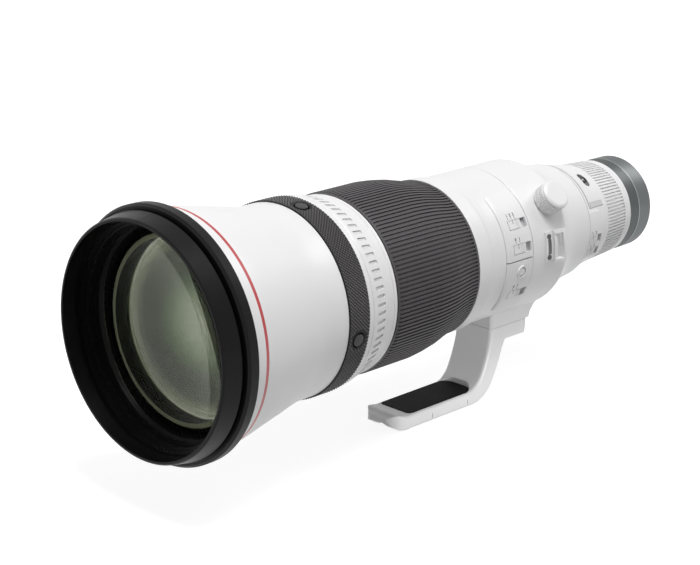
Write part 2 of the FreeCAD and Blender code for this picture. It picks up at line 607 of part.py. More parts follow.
def filter_release_button():
    """The grey press latch at the lower end of the drawer's cover."""
    whole = wedge(-78.8, -60.8, 36.3, 50, 60.5, FILTER_ANGLE + COVER_SPREAD)
    return whole.common(rear_profile_solid(0.35))


def mount_extension_ring():
    """The grey metal tail ring between the white housing and the camera."""
    line = [(REAR_END_Y, 31.0), (REAR_END_Y, 34.9), (-16.4, 34.9), (-16.0, 34.4), (-15.5, 34.4),
            (-15.1, 35.2),
            (-1.2, 35.0), (MOUNT_FACE_Y, 34.2), (MOUNT_FACE_Y, 32.2), (-2.5, 32.2), (-2.5, 26.0),
            (-9.0, 26.0), (-9.0, 31.0)]
    ring = revolve(line)
    holes = [Part.makeCylinder(1.0, 6.0, V(0, -8.5, 29.3), V(0, 1, 0)) for k in range(4)]
    holes = [at(h, 45 + 90 * k) for k, h in enumerate(holes)]
    return ring.cut(Part.makeCompound(holes))


def bayonet_mount():
    """The steel mount plate: flat ring, spigot and three bayonet claws."""
    plate = tube(-2.5, MOUNT_FACE_Y, 23.0, 32.1)
    spigot = tube(-0.5, 6.2, 23.0, 25.3)
    claws = [wedge(3.3, 5.3, 25.0, 26.9, a - 27, a + 27) for a in (30.0, 150.0, 270.0)]
    mount = joined([plate, spigot] + claws)
    cuts = []
    for k in range(4):
        angle = 45 + 90 * k
        cuts.append(at(Part.makeCylinder(1.2, 4, V(0, -3, 29.3), V(0, 1, 0)), angle))
        cuts.append(at(Part.makeCylinder(2.0, 2, V(0, -1.2, 29.3), V(0, 1, 0)), angle))
    cuts.append(Part.makeCylinder(1.3, 3, V(29.3, -2.0, 0), V(0, 1, 0)))
    return mount.cut(Part.makeCompound(cuts))


def mount_screws():
    screws = []
    for k in range(4):
        shank = Part.makeCylinder(1.0, 7.4, V(0, -8.4, 29.3), V(0, 1, 0))
        head = Part.makeCylinder(1.9, 1.05, V(0, -1.2, 29.3), V(0, 1, 0))
        screw = shank.fuse(head)
        screw = screw.cut(block(0.5, -0.7, 0.1, 28.0, 30.6)).cut(block(2.6, -0.7, 0.1, 29.05, 29.55))
        screws.append(at(screw, 45 + 90 * k))
    return Part.makeCompound(screws)


def contact_block():
    """The curved block inside the spigot with its row of contact pins."""
    body = wedge(-6.0, 4.6, 20.2, 23.0, 146.0, 214.0)
    solids = [body]
    for k in range(12):
        pin = Part.makeCylinder(0.75, 0.7, V(0, 4.6, 21.6), V(0, 1, 0))
        solids.append(at(pin, 180 + (k - 5.5) * 5.2))
    return Part.makeCompound(solids)


def yz_prism(points, half_width):
    face = Part.Face(Part.makePolygon([V(-half_width, y, z) for y, z in points + points[:1]]))
    return face.extrude(V(2 * half_width, 0, 0))


def collar_ring():
    """The tripod collar: a broad ring, the seat of the lock knob and the pedestal for the foot."""
    curve_points = [(COLLAR_FRONT_Y, BODY_R - 0.4), (COLLAR_FRONT_Y + 0.5, BODY_R), (-125.0, BODY_R)]
    outline = curve_points + COLLAR_CURVE[1:]
    ring = revolve(outline + [(COLLAR_REAR_Y, 0), (COLLAR_FRONT_Y, 0)])
    pedestal = yz_prism([(COLLAR_FRONT_Y, -38), (COLLAR_FRONT_Y, SEAM_Z), (-119.7, SEAM_Z), (-118.2, -57.6),
                         (-114.5, -53.2), (-108.5, -49.8), (-102.0, -47.2), (-96.0, -44.4), (-92.0, -42.0),
                         (-92.0, -38)], 19.0)
    plan = plan_block(FOOT_HALF_WIDTH, -161.6, -60, -70, -30, 3.0, 3.0)
    pedestal = pedestal.common(plan)
    boss = radial_pin(KNOB_R - 1.4, 45, KNOB_BASE, KNOB_Y, KNOB_ANGLE)
    collar = joined([ring, pedestal, boss])
    bore = tube(-170, SLEEVE_STEP_Y + 1.0, 0, 48.5).fuse(tube(-122, -80, 0, SLEEVE_TAIL_R + 0.4))
    collar = collar.cut(bore)
    collar = collar.cut(radial_pin(SHOE_R + 0.15, 40, 51.3, KNOB_Y, KNOB_ANGLE))
    collar = collar.cut(radial_pin(LOCK_STUD_R + RUN, 45, 60, KNOB_Y, KNOB_ANGLE))
    for angle in LUG_ANGLES:
        for y, x in LUG_SCREWS:
            collar = collar.cut(radial_pin(1.0, 50.2, 56, y, angle, x))
    for x, y in FOOT_SCREWS:
        collar = collar.cut(Part.makeCylinder(2.0, 9.0, V(x, y, SEAM_Z - 0.5), V(0, 0, 1)))
    return collar


def collar_slide_ring():
    """The slippery liner between the collar and the sleeve."""
    ring = tube(-158.0, -123.0, SLEEVE_R + BEARING_RUN, 48.5)
    return ring.cut(radial_pin(SHOE_R + 0.3, 40, 52, KNOB_Y, KNOB_ANGLE))


def clamp_shoe():
    """The threaded shoe that the lock screw pulls off the sleeve or presses on to it."""
    body = radial_pin(SHOE_R, 40, 50.6, KNOB_Y)
    body = body.cut(Part.makeCylinder(SLEEVE_R + 0.2, 40, V(0, KNOB_Y - 20, 0), V(0, 1, 0)))
    body = body.cut(radial_pin(LOCK_STUD_R + BEARING_RUN, 47.2, 60, KNOB_Y))
    return at(body, KNOB_ANGLE)


def lock_knob():
    """The white knob: two rows of ribs under a rounded cap, and the steel stud it turns."""
    base = KNOB_BASE + 0.15
    top = base + 12.6
    line = [(0, base), (KNOB_R - 0.6, base), (KNOB_R, base + 0.6), (KNOB_R, base + 9.3),
            (KNOB_R - 0.7, base + 9.6), (KNOB_R - 0.7, base + 10.3), (KNOB_R, base + 10.5),
            (KNOB_R - 0.3, base + 11.4), (KNOB_R - 1.2, base + 12.2), (KNOB_R - 2.4, top), (0, top)]
    face = Part.Face(Part.makePolygon([V(x, KNOB_Y, z) for x, z in line + line[:1]]))
    knob = face.revolve(V(0, KNOB_Y, 0), V(0, 0, 1), 360)
    flutes = []
    for low, high in ((base + 1.0, base + 4.4), (base + 5.0, base + 8.4)):
        for k in range(KNOB_RIBS):
            a = 2 * math.pi * k / KNOB_RIBS
            start = V((KNOB_R + 0.1) * math.sin(a), KNOB_Y + (KNOB_R + 0.1) * math.cos(a), low)
            flutes.append(Part.makeCylinder(0.62, high - low, start))
    knob = knob.cut(Part.makeCompound(flutes))
    knob = knob.cut(radial_pin(LOCK_STUD_R, base - 1, base + 8, KNOB_Y))
    stud = radial_pin(LOCK_STUD_R, 48.0, base + 8, KNOB_Y)
    return at(Part.makeCompound([knob, stud]), KNOB_ANGLE)


def strap_lug():
    """A strap bracket: curved plate, two end arms and the bar the strap goes round."""
    plate = wedge(-149.0, -137.4, 53.5, 54.9, -11.5, 11.5)
    rail = wedge(-142.6, -139.6, 54.5, 57.2, -9.5, 9.5)
    bar = wedge(-135.6, -132.8, 57.4, 59.8, -11.5, 11.5)
    lug = plate.fuse(rail).fuse(bar)
    for side in (-1, 1):
        start = 9.0 if side > 0 else -11.5
        arm = revolve([(-142.6, 54.5), (-142.6, 57.6), (-137.0, 59.8), (-132.8, 59.8), (-132.8, 57.0),
                       (-137.4, 54.5)], start, 2.5)
        lug = lug.fuse(arm)
    lug = lug.removeSplitter()
    for y, x in LUG_SCREWS:
        lug = lug.cut(radial_pin(1.15, 50, 56, y, 0, x))
        lug = lug.cut(radial_pin(1.9, 54.2, 58, y, 0, x))
    return lug


def strap_lug_screws():
    solids = []
    for angle in LUG_ANGLES:
        for y, x in LUG_SCREWS:
            screw = radial_pin(1.0, 50.3, 54.3, y, 0, x).fuse(radial_pin(1.8, 54.2, 55.0, y, 0, x))
            solids.append(at(screw.cut(block(0.5, y - 1.2, y + 1.2, 54.6, 56, 0, x)), angle))
    return Part.makeCompound(solids)


def foot():
    """The tripod foot: top block under the collar, leaning strut and long forward plate."""
    def curve(points):
        spline = Part.BSplineCurve()
        spline.interpolate([V(-FOOT_HALF_WIDTH, y, z) for y, z in points])
        return spline.toShape()

    def line(a, b):
        return Part.makeLine(V(-FOOT_HALF_WIDTH, a[0], a[1]), V(-FOOT_HALF_WIDTH, b[0], b[1]))

    rear = [(-143.2, -72.8), (-146.0, -78.0), (-150.0, -88.5), (-154.6, -98.5), (-159.6, -106.6),
            (-167.5, -112.9), (-180.0, FOOT_BOTTOM_Z)]
    nose = [(-244.0, FOOT_BOTTOM_Z), (-255.0, -114.0), (-258.8, -110.5), (-259.4, -107.0), (-257.0, -104.3),
            (-253.0, -103.8), (-244.0, -105.0)]
    bend = [(-186.0, -105.2), (-179.5, -104.3), (-173.0, -99.5), (-168.6, -91.7), (-165.2, -82.9),
            (-162.8, -74.0), (-161.6, SEAM_Z)]
    edges = [line((-161.6, SEAM_Z), (-119.9, SEAM_Z)), line((-119.9, SEAM_Z), (-124.0, -72.8)),
             line((-124.0, -72.8), rear[0]), curve(rear), line(rear[-1], nose[0]), curve(nose),
             line(nose[-1], bend[0]), curve(bend)]
    body = Part.Face(Part.Wire(edges)).extrude(V(2 * FOOT_HALF_WIDTH, 0, 0))
    lengthwise = [e for e in body.Edges if e.BoundBox.XLength < 0.1 and e.BoundBox.ZMin < -75]
    body = body.makeFillet(3.0, lengthwise)
    body = body.common(plan_block(FOOT_HALF_WIDTH, -259.6, -119.8, -117, -50, 12.0, FOOT_CORNER_R))
    body = body.cut(seam_groove())
    body = body.cut(pad_block(-90.0))
    groove = Part.makeCylinder(10.0, 40, V(0, -268, -117.7), V(0, 1, -0.37))
    body = body.cut(groove)
    body = body.cut(Part.makeCylinder(TRIPOD_THREAD_R, 6.6, V(0, -222.0, FOOT_BOTTOM_Z), V(0, 0, 1)))
    body = body.cut(Part.makeCylinder(SMALL_THREAD_R, 6.6, V(0, -205.0, FOOT_BOTTOM_Z), V(0, 0, 1)))
    for x, y in FOOT_SCREWS:
        body = body.cut(Part.makeCylinder(2.3, 20, V(x, y, -78), V(0, 0, 1)))
        body = body.cut(Part.makeCylinder(4.0, 6.4, V(x, y, -75), V(0, 0, 1)))
    return body


def seam_groove():
    """The fine groove that shows where the foot meets the collar."""
    around = plan_block(30.0, -170, -110, SEAM_Z - 0.45, SEAM_Z + 0.1, 3.0, 3.0)
    inside = plan_block(FOOT_HALF_WIDTH - 0.5, -161.1, -120.3, SEAM_Z - 1, SEAM_Z + 1, 2.5,
                        FOOT_CORNER_R - 0.5)
    return around.cut(inside)


def pad_block(top):
    return plan_block(14.6, -244.0, -174.5, -107.4, top, 4.0, 10.0)


def foot_pad():
    """The soft inset pad on top of the foot's plate."""
    pad = pad_block(-104.6)
    top = [e for e in pad.Edges if e.BoundBox.ZMin > -104.7]
    return pad.makeFillet(0.8, top)


def foot_screws():
    solids = []
    for x, y in FOOT_SCREWS:
        shank = Part.makeCylinder(2.0, 14.6, V(x, y, -68.6), V(0, 0, 1))
        head = Part.makeCylinder(3.6, 3.6, V(x, y, -72.2), V(0, 0, 1))
        socket = Part.makeCylinder(1.7, 2.0, V(x, y, -72.2), V(0, 0, 1))
        solids.append(shank.fuse(head).cut(socket).removeSplitter())
    return Part.makeCompound(solids)


save(front_rubber_ring(), "front_rubber_ring")
save(hood_mount_ring(), "hood_mount_ring")
save(front_barrel(), "front_barrel")
save(button_ring(), "button_ring")
for index, stop_angle in enumerate(AF_BUTTON_ANGLES):
    save(af_stop_button(stop_angle), "af_stop_button_%d" % (index + 1))
save(function_ring(), "function_ring")
save(focus_ring(), "focus_ring")
save(focus_ring_rubber(), "focus_ring_rubber")
save(inner_tube(), "inner_tube")
save(front_element(), "front_element")
save(lens(SECOND_FRONT_Y, SECOND_REAR_Y, SECOND_GLASS_R, -300.0, 260.0), "second_element")
save(cam_ring(), "cam_ring")
save(focus_cell(), "focus_cell")
save(lens(-306.0, -296.0, 38.0, -300.0, -160.0), "focus_lens")
save(focus_motor(), "focus_motor")
save(switch_panel(), "switch_panel")
switch_nodes = ("stabilizer_mode_switch", "stabilizer_switch", "focus_preset_switch")
for node, place in zip(switch_nodes, SWITCH_ANGLES):
    save(slider(place, -184.0, -171.6, POCKET_R + 0.1, 53.2, 55.2, 6.2), node)
save(preset_set_button(), "preset_set_button")
save(main_barrel(), "main_barrel")
save(stabilizer_guide_frame(), "stabilizer_guide_frame")
save(stabilizer_lens_frame(), "stabilizer_lens_frame")
save(iris_base(), "iris_base")
for blade_number in range(BLADES):
    save(iris_blade(blade_number), "iris_blade_%d" % (blade_number + 1))
save(iris_drive_ring(), "iris_drive_ring")
save(rear_lens_cell(), "rear_lens_cell")
save(lens(-122.0, -112.0, 25.0, 70.0, 200.0), "rear_lens")
save(circuit_board(), "circuit_board")
save(rear_barrel(), "rear_barrel")
for node, place in zip(("focus_mode_switch", "focus_limiter_switch"), REAR_SWITCH_ANGLES):
    save(slider(place, -82.4, -75.1, 38.0, 40.3, 42.9, 5.6), node)
save(filter_holder(), "filter_holder")
save(lock_slot_plate(), "lock_slot_plate")
save(drop_in_filter(), "drop_in_filter")
save(filter_release_button(), "filter_release_button")
save(mount_extension_ring(), "mount_extension_ring")
save(bayonet_mount(), "bayonet_mount")
save(mount_screws(), "mount_screws")
save(contact_block(), "contact_block")
save(collar_ring(), "collar_ring")
save(collar_slide_ring(), "collar_slide_ring")
save(clamp_shoe(), "clamp_shoe")
save(lock_knob(), "lock_knob")
save(Part.makeCompound([at(strap_lug(), a) for a in LUG_ANGLES]), "strap_lugs")
save(strap_lug_screws(), "strap_lug_screws")
save(foot(), "foot")
save(foot_pad(), "foot_pad")
save(foot_screws(), "foot_screws")
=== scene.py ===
import math
from collections import namedtuple

import bpy
from mathutils import Euler, Matrix, Vector


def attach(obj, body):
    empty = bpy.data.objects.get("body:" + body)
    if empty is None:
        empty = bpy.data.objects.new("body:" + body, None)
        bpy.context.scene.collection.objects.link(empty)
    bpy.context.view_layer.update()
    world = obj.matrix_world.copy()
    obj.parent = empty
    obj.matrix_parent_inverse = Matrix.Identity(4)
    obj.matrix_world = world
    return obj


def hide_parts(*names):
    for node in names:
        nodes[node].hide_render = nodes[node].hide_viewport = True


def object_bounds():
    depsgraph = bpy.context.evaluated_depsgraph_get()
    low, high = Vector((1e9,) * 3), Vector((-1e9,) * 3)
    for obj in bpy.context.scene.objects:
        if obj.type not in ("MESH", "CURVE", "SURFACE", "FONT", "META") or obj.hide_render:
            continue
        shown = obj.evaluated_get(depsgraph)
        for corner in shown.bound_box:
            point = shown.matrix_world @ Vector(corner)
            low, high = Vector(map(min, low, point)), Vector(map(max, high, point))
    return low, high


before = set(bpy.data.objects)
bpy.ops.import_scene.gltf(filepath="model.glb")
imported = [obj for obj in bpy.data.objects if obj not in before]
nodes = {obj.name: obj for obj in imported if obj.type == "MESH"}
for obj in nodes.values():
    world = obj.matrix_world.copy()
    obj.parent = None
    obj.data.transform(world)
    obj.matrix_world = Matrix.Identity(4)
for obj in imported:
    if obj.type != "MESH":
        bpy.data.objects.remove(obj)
cad_box = [list(corner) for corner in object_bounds()]
scene = bpy.context.scene

MM = 0.001
DEGREE = math.radians(1.0)


# Sizes and places, in millimetres and degrees
# A station is a place along the optical axis: 0 at the mount face, and negative towards the front.
# A radius is the distance from that axis. An angle turns from the top towards the switches.
# A pair is a span, given by its two ends.

# Painted marks, and where painted shade and a painted highlight go
RED_LINE = (-438.9, -436.4)
FOOT_SIDE_X = 16.8
FOOT_MARK_HEIGHTS = (-113.2, -109.6)
FOOT_MARKS = (-222.2, -184.9)
FOOT_MARK_HALF = 0.22
LUG_RECESS = (-147.3, -143.7)
LUG_RECESS_ARC = (79.3, 90.7)
LUG_RECESS_TOP_R = 55.1
TAIL_FRONT = (-27.0, -16.0)
TAIL_LINE = (-15.2, -14.2)

# Settings of the switches, with their index lines and numbers
THREE_WAY = (-182.4, -179.0, -175.6)
TWO_WAY = (-181.0, -177.0)
REAR_TWO_WAY = (-81.0, -77.0)
INDEX_LINE_HALF = 0.24
SLIDER_LINES = (
    (-179.0, (57.6, 61.2)), (-179.0, (75.6, 79.2)), (-179.0, (111.6, 115.2)),
    (-80.4, (94.0, 97.6)), (-80.4, (107.6, 111.2)))
PANEL_LINES = [(station, arc) for stations, arc in (
    (THREE_WAY, (55.3, 57.2)), (TWO_WAY, (73.5, 75.2)), (TWO_WAY, (109.3, 111.2))) for station in stations]
PANEL_PRINT_R = 55.02
REAR_PRINT_R = 42.72
PRINT_HALF_THICKNESS = 0.03
PRINT_WEIGHT = 0.02
# Texts, their stations, angle, radius and height
SWITCH_NUMBERS = (
    ("123", THREE_WAY, 55.0, PANEL_PRINT_R, 3.0),
    ("01", TWO_WAY, 73.2, PANEL_PRINT_R, 2.8),
    ("01", TWO_WAY, 109.0, PANEL_PRINT_R, 2.8),
    ("12", REAR_TWO_WAY, 92.6, REAR_PRINT_R, 2.8),
    ("12", REAR_TWO_WAY, 106.4, REAR_PRINT_R, 2.6))

# Parts of a node that have a look of their own
BUTTON_RING_SEAT = (-356.3, -338.0)
BUTTON_RING_SEAT_R = 62.9
GROOVES = (-330.2, -320.2)
GROOVE_FRONT_Y = -331.0
GROOVE_FRONT_R = 64.65
GROOVE_TAPER = 0.2174
WINDOWS = (-191.1, -163.8)
WINDOW_RADII = (51.0, 52.1)
STABILIZER_GLASS_R = 28.95
STABILIZER_GLASS_FRONT_Y = -172.6
FILTER_GLASS = (-71.7, -69.3)
FILTER_GLASS_R = 22.9
KNOB_SHAFT_R = 54.5
CONTACT_TIP_Y = 4.62

# The two front lenses. A surface has the station of its rim, its clear radius and the radius of its curve.
Surface = namedtuple("Surface", "y clear curve")
FRONT_LENS = (Surface(-443.9, 68.2, 255.0), Surface(-434.2, 57.5, 600.0))
FRONT_LENS_R = 72.4
SECOND_LENS = (Surface(-422.0, 54.3, -300.0), Surface(-411.0, 54.3, 260.0))
SECOND_LENS_R = 55.1
LENS_STEPS = 24
LENS_TURNS = 256
LENS_EDGE_ANGLE = 25.0
RIM_PAINT_DEPTH = 0.3
EDGE_MARGIN = 0.05

# The knurled band of the button ring
KNURL = (-355.7, -338.6)
KNURL_LOW = 65.55
KNURL_HIGH = 66.2
KNURL_COLUMNS = 168
KNURL_TOP_SHARE = 0.4
STOP_BUTTON_Y = -347.0
STOP_BUTTON_ANGLES = (11.0, 101.0, 191.0, 281.0)
STOP_BUTTON_CLEAR = 7.0

# The photograph's view, solved from the rings of the barrel: its place in metres, its turns in degrees
CAMERA_PLACE = (0.87051, -1.18061, 0.39888)
CAMERA_TURNS = (72.15539, -0.61021, 44.5219)
CAMERA_LENS = 100.663
CAMERA_SENSOR = 36.0


# Colours

WHITE = (0.80, 0.795, 0.802)
PALE_GREY = (0.70, 0.695, 0.70)
FULL_WHITE = (1.0, 1.0, 1.0)
BLACK = (0.0030, 0.0028, 0.0031)
MARK = (0.03, 0.03, 0.03)
RED = (0.44, 0.004, 0.010)
# Painted shade in the recess of the strap plates
LUG_RECESS_SHADE = (0.075, 0.073, 0.075)
# Painted shade in the valleys of the knurl
KNURL_VALLEY_SHADE = (0.022, 0.021, 0.022)
TAIL_FRONT_GREY = (0.12, 0.128, 0.128)
# Painted highlight: the fine bright line on the tail ring
TAIL_HIGHLIGHT_GREY = (0.32, 0.335, 0.335)

# Painted reflection: the sheen of the second lens, by radius, bright in the middle and at the rim and dark
# between
SECOND_LENS_PAINTED_REFLECTION = (
    (0.0, (0.62, 0.66, 0.52)), (12.0, (0.56, 0.60, 0.46)), (18.0, (0.34, 0.42, 0.28)),
    (25.0, (0.12, 0.20, 0.10)), (31.0, (0.04, 0.05, 0.03)), (42.0, (0.05, 0.055, 0.04)),
    (48.0, (0.25, 0.26, 0.20)), (51.5, (0.62, 0.63, 0.52)), (54.2, (1.0, 1.0, 0.86)))
SHEEN_REACH = 80.0


# Node helpers

Spot = namedtuple("Spot", "where x y z")


def new_material(name):
    material = bpy.data.materials.new(name)
    material.use_nodes = True
    tree = material.node_tree
    return material, tree, tree.nodes["Principled BSDF"]


def feed(tree, socket, value):
    """Links an output, or sets a plain number or colour."""
    if isinstance(value, bpy.types.NodeSocket):
        tree.links.new(value, socket)
    elif isinstance(value, tuple) and len(value) == 3 and len(socket.default_value) == 4:
        socket.default_value = (*value, 1.0)
    else:
        socket.default_value = value


def maths(tree, operation, a, b=None):
    node = tree.nodes.new("ShaderNodeMath")
    node.operation = operation
    for socket, value in zip(node.inputs, (a, b)):
        if value is not None:
            feed(tree, socket, value)
    return node.outputs[0]


def product(tree, first, *others):
    for other in others:
        first = maths(tree, "MULTIPLY", first, other)
    return first


def mixed(tree, factor, a, b):
    node = tree.nodes.new("ShaderNodeMix")
    node.data_type = "RGBA"
    feed(tree, node.inputs[0], factor)
    feed(tree, node.inputs[6], a)
    feed(tree, node.inputs[7], b)
    return node.outputs[2]


def spot(tree):
    """Object coordinates in metres, as a vector and as its three parts."""
    coordinates = tree.nodes.new("ShaderNodeTexCoord").outputs["Object"]
    parts = tree.nodes.new("ShaderNodeSeparateXYZ")
    tree.links.new(coordinates, parts.inputs[0])
    return Spot(coordinates, *parts.outputs)


def axis_distance(tree, at):
    """How far a spot is from the optical axis, in metres."""
    squares = maths(tree, "ADD", product(tree, at.x, at.x), product(tree, at.z, at.z))
    return maths(tree, "SQRT", squares)


def noise(tree, vector, scale, detail=2.0, roughness=0.5):
    node = tree.nodes.new("ShaderNodeTexNoise")
    tree.links.new(vector, node.inputs["Vector"])
    node.inputs["Scale"].default_value = scale
    node.inputs["Detail"].default_value = detail
    node.inputs["Roughness"].default_value = roughness
    return node.outputs["Fac"]


def spread(tree, value, low, high, start=0.0, end=1.0):
    """Maps a value between start and end onto the range from low to high."""
    node = tree.nodes.new("ShaderNodeMapRange")
    for socket, number in zip(node.inputs, (value, start, end, low, high)):
        feed(tree, socket, number)
    return node.outputs[0]


def band(tree, value, span, unit=MM):
    """1 where a value lies within a span given in that unit, and 0 outside it."""
    above = maths(tree, "GREATER_THAN", value, span[0] * unit)
    below = maths(tree, "LESS_THAN", value, span[1] * unit)
    return product(tree, above, below)


def line_band(tree, value, middle, half):
    return band(tree, value, (middle - half, middle + half))


def bump(tree, bsdf, height, distance):
    node = tree.nodes.new("ShaderNodeBump")
    tree.links.new(height, node.inputs["Height"])
    node.inputs["Distance"].default_value = distance
    node.inputs["Strength"].default_value = 1.0
    tree.links.new(node.outputs[0], bsdf.inputs["Normal"])


def scaled(colour, share):
    return tuple(part * share for part in colour)


# Painted marks, painted shade and a painted highlight, which the materials below put over their own tone

def red_line(tree, tone, at):
    """The red ring painted round the front of the white shell."""
    return mixed(tree, band(tree, at.y, RED_LINE), tone, RED)


def foot_marks(tree, tone, at):
    """Two short dark index lines on the side of the foot's plate."""
    side = maths(tree, "GREATER_THAN", at.x, FOOT_SIDE_X * MM)
    near = product(tree, side, band(tree, at.z, FOOT_MARK_HEIGHTS))
    for station in FOOT_MARKS:
        line = line_band(tree, at.y, station, FOOT_MARK_HALF)
        tone = mixed(tree, product(tree, near, line), tone, MARK)
    return tone


def index_lines(lines):
    """Short dark lines across a switch or beside it. Each has a station and an arc."""
    def paint(tree, tone, at):
        turn = maths(tree, "ARCTAN2", at.x, at.z)
        for station, arc in lines:
            line = line_band(tree, at.y, station, INDEX_LINE_HALF)
            tone = mixed(tree, product(tree, line, band(tree, turn, arc, DEGREE)), tone, MARK)
        return tone
    return paint


def lug_recess_shade(tree, tone, at):
    """Painted shade: a dark strip between the two screws of each strap bracket's plate, where a recess would
    be shaded.
    """
    turn = maths(tree, "ABSOLUTE", maths(tree, "ARCTAN2", at.x, at.z))
    arc = band(tree, turn, LUG_RECESS_ARC, DEGREE)
    low = maths(tree, "LESS_THAN", axis_distance(tree, at), LUG_RECESS_TOP_R * MM)
    return mixed(tree, product(tree, arc, low, band(tree, at.y, LUG_RECESS)), tone, LUG_RECESS_SHADE)


def knurl_shade(tree, tone, at):
    """Painted shade: darker valleys and lighter tops on the knurled band."""
    high = spread(tree, axis_distance(tree, at), 0.0, 1.0, KNURL_LOW * MM, KNURL_HIGH * MM)
    return mixed(tree, high, KNURL_VALLEY_SHADE, tone)


def tail_bands(tree, tone, at):
    """The darker front part of the tail ring, and behind it a fine bright line that is a painted highlight.
    """
    tone = mixed(tree, band(tree, at.y, TAIL_FRONT), tone, TAIL_FRONT_GREY)
    return mixed(tree, band(tree, at.y, TAIL_LINE), tone, TAIL_HIGHLIGHT_GREY)


# Paint, plastic and rubber. Noise scales are patches per metre.

DRIFT_SCALE = 22.0
GLOSS_SCALE = 132.0
GLOSS_CHANGE = 0.05
SPECK_SHARE = 0.12
SPECK_DARKNESS = 0.86


def coated(name, colour, rough, mottle=0.03, grain=2600.0, depth=0.00002, specular=0.5, marks=None):
    """Paint, plastic or rubber: slow colour drift, a fine grain in the surface and uneven gloss."""
    material, tree, bsdf = new_material(name)
    at = spot(tree)
    slow = noise(tree, at.where, DRIFT_SCALE, 4.0)
    fine = noise(tree, at.where, grain, 3.0, 0.6)
    tone = mixed(tree, slow, scaled(colour, 1.0 - mottle), scaled(colour, 1.0 + mottle))
    speck = spread(tree, fine, 1.0 - mottle, 1.0 + mottle)
    tone = mixed(tree, product(tree, speck, SPECK_SHARE), tone, scaled(colour, SPECK_DARKNESS))
    if marks:
        tone = marks(tree, tone, at)
    feed(tree, bsdf.inputs["Base Color"], tone)
    gloss = noise(tree, at.where, GLOSS_SCALE, 3.0)
    feed(tree, bsdf.inputs["Roughness"], spread(tree, gloss, rough - GLOSS_CHANGE, rough + GLOSS_CHANGE))
    bsdf.inputs["Specular IOR Level"].default_value = specular
    bump(tree, bsdf, fine, depth)
    return material


def paint(name, marks=None):
    return coated(name, WHITE, 0.36, specular=1.0, marks=marks)


def plastic(name, marks=None):
    return coated(name, WHITE, 0.40, grain=1900.0, depth=0.00003, specular=0.9, marks=marks)


white_paint = paint("white_paint")
# White paint with a strip of painted shade on the strap plates
lug_paint = paint("white_paint_strap_lug_painted_shade", lug_recess_shade)
white_front = paint("white_paint_red_line", red_line)
foot_paint = paint("white_paint_foot", foot_marks)
white_plastic = plastic("white_plastic")
slider_white = plastic("white_plastic_slider", index_lines(SLIDER_LINES))
panel_white = plastic("white_plastic_panel", index_lines(PANEL_LINES))
black_satin = coated("black_satin", BLACK, 0.34, mottle=0.1, specular=0.14)
black_matt = coated("black_matt", BLACK, 0.42, mottle=0.1, specular=0.16)
black_paint = coated("black_flock_paint", (0.003, 0.003, 0.0032), 0.7, mottle=0.15, specular=0.08)
black_plastic = coated("black_plastic", (0.008, 0.008, 0.0085), 0.4, mottle=0.1, specular=0.3)
rib_rubber = coated("rib_rubber", (0.062, 0.058, 0.061), 0.55, mottle=0.12, depth=0.00004, specular=0.35)
button_rubber = coated("button_rubber", (0.040, 0.038, 0.040), 0.5, mottle=0.1, specular=0.3)
pad_rubber = coated("pad_rubber", (0.010, 0.0095, 0.010), 0.6, mottle=0.15, grain=1500.0, depth=0.00008,
                    specular=0.05)
knurl_rubber = coated("knurled_rubber", (0.100, 0.095, 0.098), 0.55, mottle=0.12, specular=0.3,
                      marks=knurl_shade)
grey_plastic = coated("grey_plastic", (0.62, 0.615, 0.62), 0.4)
liner = coated("slide_liner", (0.62, 0.58, 0.45), 0.5)
window_grey = coated("window_grey", PALE_GREY, 0.5)
# Painted shade on the floors of the function ring's grooves
groove_shade = coated("groove_shade", PALE_GREY, 0.45)
# Painted reflection: the lenses' lighter rim and their rear ring are olive paint
rim_painted_reflection = coated("glass_rim_painted_reflection", (0.40, 0.41, 0.31), 0.7, mottle=0.06, specular=0.1)
edge_painted_reflection = coated("glass_edge_painted_reflection", (0.23, 0.24, 0.17), 0.7, mottle=0.1, specular=0.1)
board = coated("circuit_board", (0.02, 0.14, 0.06), 0.4, mottle=0.2)
dark_blade = coated("blade_black", (0.01, 0.01, 0.01), 0.45, mottle=0.1, specular=0.2)


# Metals

LATHE_SCALES = (30.0, 9000.0, 30.0)
STAIN_SCALE = 60.0
STAIN_SHARE = 0.3
STAIN_DARKNESS = 0.8
RING_TONES = (0.88, 1.08)
RING_GLOSS = (-0.06, 0.08)
RING_DEPTH = 0.00001
ANISOTROPY = 0.85
QUARTER_TURN = 0.25


def turned_metal(name, colour, rough, metallic=1.0, marks=None):
    """Metal turned on a lathe: fine rings along the optical axis, with small stains."""
    material, tree, bsdf = new_material(name)
    at = spot(tree)
    stretch = tree.nodes.new("ShaderNodeMapping")
    stretch.inputs["Scale"].default_value = LATHE_SCALES
    tree.links.new(at.where, stretch.inputs[0])
    rings = noise(tree, stretch.outputs[0], 1.0)
    slow = noise(tree, at.where, STAIN_SCALE, 4.0)
    tone = mixed(tree, rings, *(scaled(colour, share) for share in RING_TONES))
    tone = mixed(tree, product(tree, slow, STAIN_SHARE), tone, scaled(colour, STAIN_DARKNESS))
    if marks:
        tone = marks(tree, tone, at)
    feed(tree, bsdf.inputs["Base Color"], tone)
    feed(tree, bsdf.inputs["Roughness"], spread(tree, rings, *(rough + change for change in RING_GLOSS)))
    bsdf.inputs["Metallic"].default_value = metallic
    bump(tree, bsdf, rings, RING_DEPTH)
    bsdf.inputs["Anisotropic"].default_value = ANISOTROPY
    bsdf.inputs["Anisotropic Rotation"].default_value = QUARTER_TURN
    tangent = tree.nodes.new("ShaderNodeTangent")
    tangent.direction_type = "RADIAL"
    tangent.axis = "Y"
    tree.links.new(tangent.outputs[0], bsdf.inputs["Tangent"])
    return material


